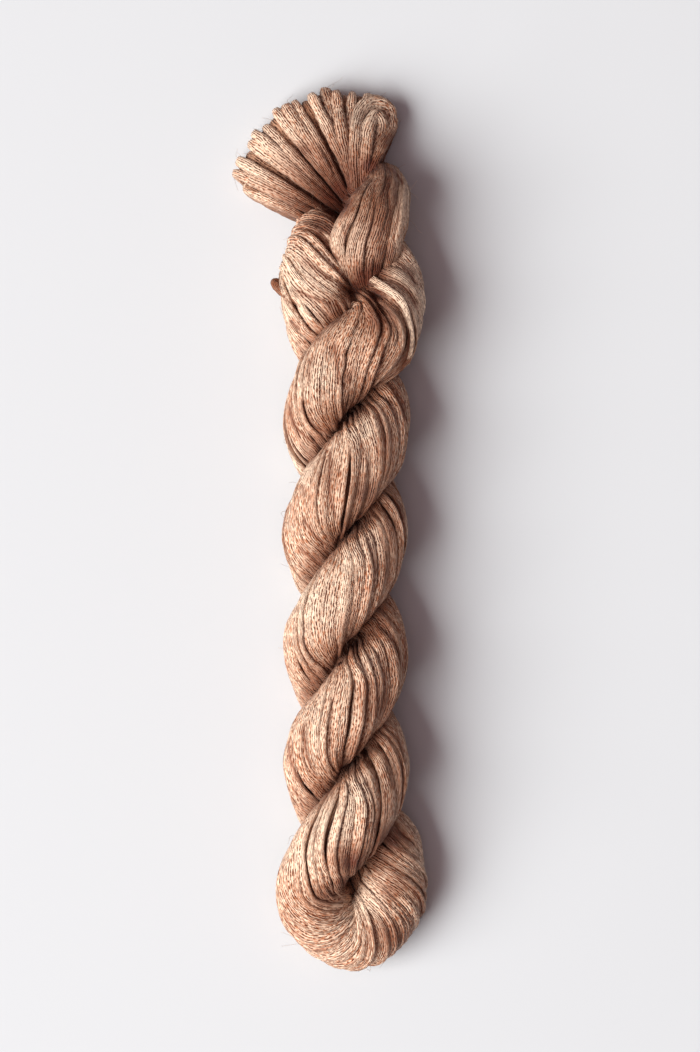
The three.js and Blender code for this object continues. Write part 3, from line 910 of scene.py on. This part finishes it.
class Nodes:
    """Short way to write a material's node tree."""

    def __init__(self, name):
        self.material = bpy.data.materials.new(name)
        self.material.use_nodes = True
        self.tree = self.material.node_tree
        self.shader = self.tree.nodes["Principled BSDF"]

    def put(self, socket, value):
        """Links value to socket, or sets it there if it is a constant."""
        if isinstance(value, bpy.types.NodeSocket):
            self.tree.links.new(value, socket)
        else:
            socket.default_value = value

    def node(self, kind, out, inputs=None, **settings):
        """Output out of a new node of kind."""
        node = self.tree.nodes.new(kind)
        for key, value in settings.items():
            setattr(node, key, value)
        for key, value in (inputs or {}).items():
            self.put(node.inputs[key], value)
        return node.outputs[out]

    def math(self, operation, a, b=0.0, c=0.0):
        return self.node("ShaderNodeMath", 0, {0: a, 1: b, 2: c}, operation=operation)

    def read(self, name):
        """Value that each vertex has under name."""
        return self.node("ShaderNodeAttribute", "Fac", attribute_name=name)

    def bell(self, value, width):
        """1 where value is 0, falling off over width."""
        share = self.math("DIVIDE", value, width)
        square = self.math("MULTIPLY", share, share)
        return self.math("POWER", BELL_BASE, self.math("MULTIPLY", square, -1.0))

    def noise(self, at, along, around, detail):
        """Noise with along waves for each millimetre of yarn and around waves round it."""
        place = self.node("ShaderNodeMapping", 0, {"Vector": at, "Scale": (along, around, 1.0)})
        return self.node("ShaderNodeTexNoise", 0, {"Vector": place, "Scale": 1.0, "Detail": detail})

    def mix(self, share, a, b):
        """Colour a with share of colour b; a colour mix has its own sockets after those for numbers."""
        return self.node("ShaderNodeMix", 2, {0: share, 6: a, 7: b}, data_type="RGBA")

    def ramp(self, value, low, high, to_low=0.0, to_high=1.0):
        """to_low where value is low or less, to_high where it is high or more."""
        limits = {"From Min": low, "From Max": high, "To Min": to_low, "To Max": to_high}
        return self.node("ShaderNodeMapRange", 0, {"Value": value, **limits})


def knit(n, uv, along, around, wales):
    """Seams between the fine cords of a knitted tape, and the slits that open along them."""
    wobble = n.noise(uv, *WOBBLE_NOISE)
    shiver = n.noise(uv, *SHIVER_NOISE)
    sway = n.math("MULTIPLY_ADD", wobble, WOBBLE, n.math("MULTIPLY", shiver, SHIVER))
    wale = n.math("MULTIPLY_ADD", around, float(wales), sway)
    seam = n.math("ROUND", wale)
    off_seam = n.math("SUBTRACT", wale, seam)
    slit_at = n.node("ShaderNodeCombineXYZ", 0, {0: along, 1: seam})
    opening = n.ramp(n.noise(slit_at, *SLIT_NOISE), *SLIT_RAMP)
    slits = n.math("MULTIPLY", n.bell(off_seam, SLIT_WIDTH), opening)
    return n.bell(off_seam, SEAM_WIDTH), slits


def linen(name, wales, edge_shade, strand, pale, gap_shade, ruddy, shade):
    """Linen tape: knitted cords with slits between them, fine fibres, and painted shade in the slits, at its
    edges, in the furrows and where the depth attribute is high.

    It has wales cords round it, and its edges get painted shade by edge_shade, least and most.
    """
    n = Nodes(name)
    uv = n.node("ShaderNodeUVMap", "UV", uv_map="Yarn")
    split = n.tree.nodes.new("ShaderNodeSeparateXYZ")
    n.put(split.inputs[0], uv)
    along, around = split.outputs[0], split.outputs[1]
    tone = n.read("tone")
    depth = n.read("depth")
    seams, slits = knit(n, uv, along, around, wales)
    grain = n.noise(uv, *GRAIN_NOISE)
    cloud = n.noise(uv, *CLOUD_NOISE)

    # The tone attribute holds each yarn's own tone together with painted light, which makes the yarn paler
    bright = n.ramp(n.math("MULTIPLY_ADD", tone, TONE_BRIGHT, grain), *BRIGHT_RAMP)
    warmth = n.ramp(n.math("MULTIPLY_ADD", tone, TONE_WARM, cloud), *WARM_RAMP)
    base = n.mix(warmth, n.mix(bright, strand, pale), ruddy)

    patch = n.ramp(n.noise(uv, *PATCH_NOISE), *PATCH_RAMP)
    # Painted shade in the knit's slits and seams, along the tape's edges and in the furrows between yarns
    knitted = n.math("MULTIPLY_ADD", slits, patch, n.math("MULTIPLY", seams, SEAM_DARK))
    off_middle = n.math("ABSOLUTE", n.math("SUBTRACT", around, 0.5))
    edge_dark = n.ramp(n.noise(uv, *EDGE_NOISE), *EDGE_NOISE_RANGE, *edge_shade)
    edges = n.math("MULTIPLY", n.ramp(off_middle, *EDGE_RAMP), edge_dark)
    ragged = n.math("ADD", n.read("furrow_off"), n.math("SUBTRACT", grain, 0.5))
    furrow_dark = n.ramp(n.read("furrow_close"), *FURROW_RAMP)
    furrows = n.math("MULTIPLY", n.bell(ragged, FURROW_LINE), furrow_dark)
    dark = n.math("MAXIMUM", n.math("MAXIMUM", knitted, edges), furrows)

    # Painted shade from the depth attribute: the colour turns first towards the warm strand colour, then
    # towards the shade colour
    warm_shade = n.mix(n.ramp(depth, *WARM_SHADE_RAMP), n.mix(dark, base, gap_shade), strand)
    n.put(n.shader.inputs["Base Color"], n.mix(n.ramp(depth, *SHADE_RAMP), warm_shade, shade))
    knit_height = n.math("MULTIPLY_ADD", slits, SLIT_HEIGHT, n.math("MULTIPLY", seams, SEAM_HEIGHT))
    height = n.math("MULTIPLY_ADD", grain, GRAIN_HEIGHT, knit_height)
    relief = {"Height": height, "Strength": BUMP_STRENGTH, "Distance": BUMP_DISTANCE}
    n.put(n.shader.inputs["Normal"], n.node("ShaderNodeBump", 0, relief))
    n.shader.inputs["Roughness"].default_value = ROUGHNESS
    n.shader.inputs["Specular IOR Level"].default_value = SPECULAR
    n.shader.inputs["Sheen Weight"].default_value = SHEEN
    n.shader.inputs["Sheen Roughness"].default_value = SHEEN_ROUGHNESS
    return n.material


def finish_tapes(points, normals, stations, width, loose, thick=HALF_THICK, sides=SIDES):
    """Rings and tone of yarns along points, with uneven width, thickness, roll and tone."""
    count = len(points)
    half_width = width * (1 + uneven(count, stations, WIDTH_SLOW, WIDTH_QUICK))
    half_thick = thick * (1 + uneven(count, stations, THICK_WAVE))
    roll = loose * uneven(count, stations, ROLL_WAVE)
    tone = TONE_OF_YARN * rng.uniform(-1, 1, (count, 1)) + uneven(count, stations, TONE_WAVE)
    rings = tapes(points, normals, half_width, half_thick, roll, sides)
    lumps = wander(count * sides, stations, LUMP_GAP).reshape(count, sides, -1).transpose(0, 2, 1)
    middle = points[:, :, None]
    return middle + (rings - middle) * (1 + LUMP_SIZE * lumps[..., None]), tone


def lay(bundle, count, depth, loose, sides=SIDES, hollows=HOLLOWS):
    """Rings and tone of count yarns wound round bundle at depth, as wide as their spacing asks."""
    stations = bundle.stations
    spacing = 2 * math.pi / count
    place = (np.arange(count) + PLACE_UNEVEN * rng.uniform(-1, 1, count))[:, None] * spacing
    girth = (bundle.across + bundle.side) / 2
    slide = loose * uneven(count, stations, SLIDE_SLOW, SLIDE_QUICK)
    angle = place - 2 * math.pi * bundle.turned / PLY_TURN + slide / girth
    lift = loose * uneven(count, stations, LIFT_SLOW, LIFT_QUICK)
    points, normals = bundle.skin(angle, HALF_THICK + depth + LIFT_ROOM * loose - lift)
    gap = np.hypot(bundle.across * np.sin(angle), bundle.side * np.cos(angle)) * spacing
    width = np.clip(WIDTH_SHARE * gap, LEAST_HALF_WIDTH, MOST_HALF_WIDTH)
    return finish_tapes(gather(points, hollows), normals, stations, width, loose, sides=sides)


def fan_loops(loops, full, shorter):
    """Rings, tone and shade of the fan's loops, each bent back on itself at the rim.

    They keep the share full of their height, and their reach is shorter by shorter.
    """
    paths, normals, widths, shades = [], [], [], []
    for way, reach, start, bend, lift, width in loops:
        ahead, aside = heading(way)
        far = FAN_COURSE[:, 0] * (reach - shorter) + FAN_COURSE[:, 1]
        share = np.clip(far / reach, 0, 1)
        off_middle = min(1, abs(way - FAN_MIDDLE_WAY) / FAN_HALF_SPREAD)
        low = 1 - (1 - FAN_EDGE_HEIGHT) * off_middle ** 3 * share
        height = FAN_RIM_HEIGHT + (FAN_COURSE[:, 2] - FAN_RIM_HEIGHT) * full
        height = low * height + lift * share * (FAN_COURSE[:, 2] > FAN_RIM_HEIGHT)
        sideways = start * (1 - share) + bend * 4 * share * (1 - share)
        rows = np.array([*FAN_NECK, 0]) + far[:, None] * ahead
        rows = rows + sideways[:, None] * aside + height[:, None] * UP
        points, _ = curve_through(rows, COURSE_STEPS)
        run = lengths(points)
        path = resample(np.linspace(0, run[-1], FAN_STATIONS), run, points)
        paths.append(path)
        normals.append(unit(np.cross(unit(np.gradient(path, axis=0)), aside)))
        far_out = (path[:, :2] - FAN_NECK) @ ahead[:2]
        at_rim = FAN_RIM_WIDTH + FAN_WIDER * rise(reach - shorter - far_out, 0, FAN_RIM_TAPER)
        at_neck = FAN_NECK_WIDTH + (1 - FAN_NECK_WIDTH) * rise(far_out, 0, FAN_NECK_TAPER)
        widths.append(width * at_rim * at_neck)
        shades.append(FAN_NECK_SHADE * (1 - rise(far_out, 0, FAN_SHADE_REACH * reach)))
    stations = np.arange(FAN_STATIONS) * STEP
    width = np.array(widths)
    rings, tone = finish_tapes(np.array(paths), np.array(normals), stations, width, FREE_LOOSE, FAN_THICK)
    return rings, tone, np.array(shades) + FAN_LOOP_SHADE * rng.uniform(0, 1, (len(loops), 1))


def free_yarns(courses, count, face, thick):
    """Rings and tone of single yarns along courses, with count stations and their flat side to face."""
    paths, widths = [], []
    for course in courses:
        rows = np.array(course)
        points, _ = curve_through(rows[:, :3], COURSE_STEPS)
        run = lengths(points)
        paths.append(resample(np.linspace(0, run[-1], count), run, points))
        widths.append(np.interp(np.linspace(0, len(rows) - 1, count), np.arange(len(rows)), rows[:, 3]))
    normals = np.broadcast_to(unit(face), (len(courses), count, 3))
    stations = np.arange(count) * STEP
    return finish_tapes(np.array(paths), normals, stations, np.array(widths), FREE_LOOSE, thick)


def fibres(skins):
    """Rings and tone of fine bent hairs that leave the yarns of skins at random places."""
    paths, faces = [], []
    share = np.linspace(0, 1, FIBRE_STEPS)[:, None]
    for _ in range(FIBRE_COUNT):
        rings = skins[rng.integers(len(skins))]
        yarn, station, side = (rng.integers(n) for n in rings.shape[:3])
        station = min(station, rings.shape[1] - 2)
        root = rings[yarn, station, side]
        outward = unit(root - rings[yarn, station].mean(0))
        along = unit(rings[yarn, station + 1, side] - root) * rng.choice([-1, 1])
        length = rng.uniform(FIBRE_LEAST, FIBRE_MOST)
        drift = rng.normal(0, FIBRE_DRIFT, 3)
        sway = rng.normal(0, FIBRE_SWAY, 3)
        ahead = unit(along + FIBRE_OUTWARD * outward + drift)
        course = share * ahead + share ** 2 * (FIBRE_BEND * drift) + np.sin(FIBRE_WAVES * share) * sway
        paths.append(root + length * course)
        faces.append(np.broadcast_to(outward, (FIBRE_STEPS, 3)))
    radius = FIBRE_RADIUS * np.linspace(*FIBRE_TAPER, FIBRE_STEPS) * np.ones((FIBRE_COUNT, 1))
    rings = tapes(np.array(paths), np.array(faces), radius, radius, np.zeros_like(radius), FIBRE_SIDES)
    return rings, np.ones((FIBRE_COUNT, FIBRE_STEPS))


# Materials; the one for the inner layers is a darker copy of the linen, painted shade
yarn_linen = linen("linen_tape", YARN_WALES, YARN_EDGE_SHADE, **LINEN)
wide_linen = linen("linen_tape_wide", WIDE_WALES, WIDE_EDGE_SHADE, **LINEN)
painted_shade_linen = linen("linen_tape_inside_painted_shade", YARN_WALES, YARN_EDGE_SHADE, **PAINTED_SHADE_LINEN)

# Both plies, one run from the neck of the fan down the rope, round the bight and up to the bulb
plies_rows = np.vstack([NECK_TO_ROPE, wound_rows(0), BIGHT, wound_rows(math.pi)[::-1], LEFT_BULB])
plies = Bundle(plies_rows, PLY_SPINE)
rings, tone = lay(plies, PLY_YARNS, 0.0, PLY_LOOSE)
add_piece("ply_yarns_even", rings[0::2], tone[0::2], yarn_linen)
add_piece("ply_yarns_odd", rings[1::2], tone[1::2], yarn_linen)
skins = FIBRE_SHARE_OF_PLIES * [rings]
inner_plies = Bundle(plies_rows, PLY_SPINE, INSIDE_STEP)
rings, tone = lay(inner_plies, INSIDE_YARNS, LAYER, INSIDE_LOOSE, INSIDE_SIDES)
add_piece("ply_yarns_inside", rings, tone, painted_shade_linen)
core = Bundle(CORE, CORE_SPINE, INSIDE_STEP)
rings, tone = lay(core, CORE_YARNS, 0.0, CORE_LOOSE, INSIDE_SIDES)
add_piece("core_yarns", rings, tone, painted_shade_linen)

# Strap over the neck of the fan
strap = Bundle(STRAP, RING_SPINE)
rings, tone = lay(strap, STRAP_YARNS, 0.0, STRAP_LOOSE, hollows=[])
strap_shade = np.full((STRAP_YARNS, 1), STRAP_SHADE)
strap_shade[:len(STRAP_SHADES), 0] = STRAP_SHADES
up_strap = rise(rings[..., 1].mean(2), STRAP_FOOT_Y, STRAP_RISE)
strap_shade = strap_shade * (STRAP_FOOT_SHARE + STRAP_TOP_MORE * up_strap)
add_piece("strap_yarns", rings, tone, wide_linen, strap_shade)
skins.append(rings)
rings, tone = lay(strap, STRAP_YARNS, LAYER, STRAP_LOOSE, hollows=[])
add_piece("strap_yarns_inside", rings, tone, painted_shade_linen)

# Fan, from its upper loops inwards, and the loops turned over at its right
rings, tone, shade = fan_loops(FAN_LOOPS, *FAN_TOP)
add_piece("fan_loops_top", rings, tone, wide_linen, shade)
skins.append(rings)
between = [(np.array(a) + np.array(b)) / 2 for a, b in zip(FAN_LOOPS, FAN_LOOPS[1:])]
rings, tone, shade = fan_loops(between, *FAN_BETWEEN)
add_piece("fan_loops_between", rings, tone, painted_shade_linen, shade)
rings, tone, shade = fan_loops(FAN_LOOPS, *FAN_INSIDE)
add_piece("fan_loops_inside", rings, tone, painted_shade_linen, shade)
rings, tone = free_yarns(TURNED_LOOPS, FAN_STATIONS, TURNED_FACE, TURNED_THICK)
down_loop = rise(TURNED_PALE_Y - rings[..., 1].mean(2), 0, TURNED_SHADE_LENGTH)
add_piece("fan_loops_turned", rings, tone, wide_linen, TURNED_FOOT_SHADE * down_loop)

# Yarns out of place, and fuzz
rings, tone = free_yarns(LOOSE_YARNS, LOOSE_STATIONS, UP, LOOSE_THICK)
add_piece("loose_yarns", rings, tone + LOOSE_PALE, yarn_linen, LOOSE_SHADE, LOOSE_SUNK)
rings, tone = fibres(skins)
add_piece("loose_fibres", rings, tone, yarn_linen)

# Floor
floor_mesh = bpy.data.meshes.new("floor")
floor_corners = [(FLOOR_HALF * x, FLOOR_HALF * y, 0) for x, y in ((-1, -1), (1, -1), (1, 1), (-1, 1))]
floor_mesh.from_pydata(floor_corners, [], [(0, 1, 2, 3)])
floor = bpy.data.objects.new("floor", floor_mesh)
bpy.context.scene.collection.objects.link(floor)
paper = bpy.data.materials.new("pale_floor")
paper.use_nodes = True
paper_shader = paper.node_tree.nodes["Principled BSDF"]
paper_shader.inputs["Base Color"].default_value = FLOOR_COLOUR
paper_shader.inputs["Roughness"].default_value = FLOOR_ROUGHNESS
floor_mesh.materials.append(paper)


def add_light(name, place, size, power, colour):
    """Square area lamp at place, turned to the frame's origin."""
    light = bpy.data.lights.new(name, "AREA")
    light.size = size
    light.energy = power
    light.color = colour
    lamp = bpy.data.objects.new(name, light)
    lamp.location = place
    x, y, z = place
    lamp.rotation_euler = (math.atan2(math.hypot(x, y), z), 0, math.atan2(-y, -x) - math.pi / 2)
    bpy.context.scene.collection.objects.link(lamp)


# Soft light from the left, with a faint warm fill from above and all round
add_light("window", WINDOW_PLACE, WINDOW_SIZE, WINDOW_POWER, WINDOW_COLOUR)
add_light("ceiling", CEILING_PLACE, CEILING_SIZE, CEILING_POWER, FILL_COLOUR)
world = bpy.data.worlds.new("studio")
bpy.context.scene.world = world
world.use_nodes = True
world.node_tree.nodes["Background"].inputs["Color"].default_value = (*FILL_COLOUR, 1)
world.node_tree.nodes["Background"].inputs["Strength"].default_value = FILL_STRENGTH

# Camera straight above, framed as the photo
camera_data = bpy.data.cameras.new("camera")
camera_data.sensor_fit = "VERTICAL"
camera_data.sensor_height = SENSOR_HEIGHT
camera_data.lens = SENSOR_HEIGHT * CAMERA_HEIGHT / (PHOTO_PIXELS[1] * MM_PER_PIXEL * MM)
camera = bpy.data.objects.new("camera", camera_data)
camera.location = ((PHOTO_PIXELS[0] / 2 - ORIGIN_PIXEL[0]) * MM_PER_PIXEL * MM,
                   (ORIGIN_PIXEL[1] - PHOTO_PIXELS[1] / 2) * MM_PER_PIXEL * MM,
                   CAMERA_HEIGHT + AXIS_Z * MM)
bpy.context.scene.collection.objects.link(camera)
bpy.context.scene.camera = camera
bpy.context.scene.view_settings.view_transform = "Standard"
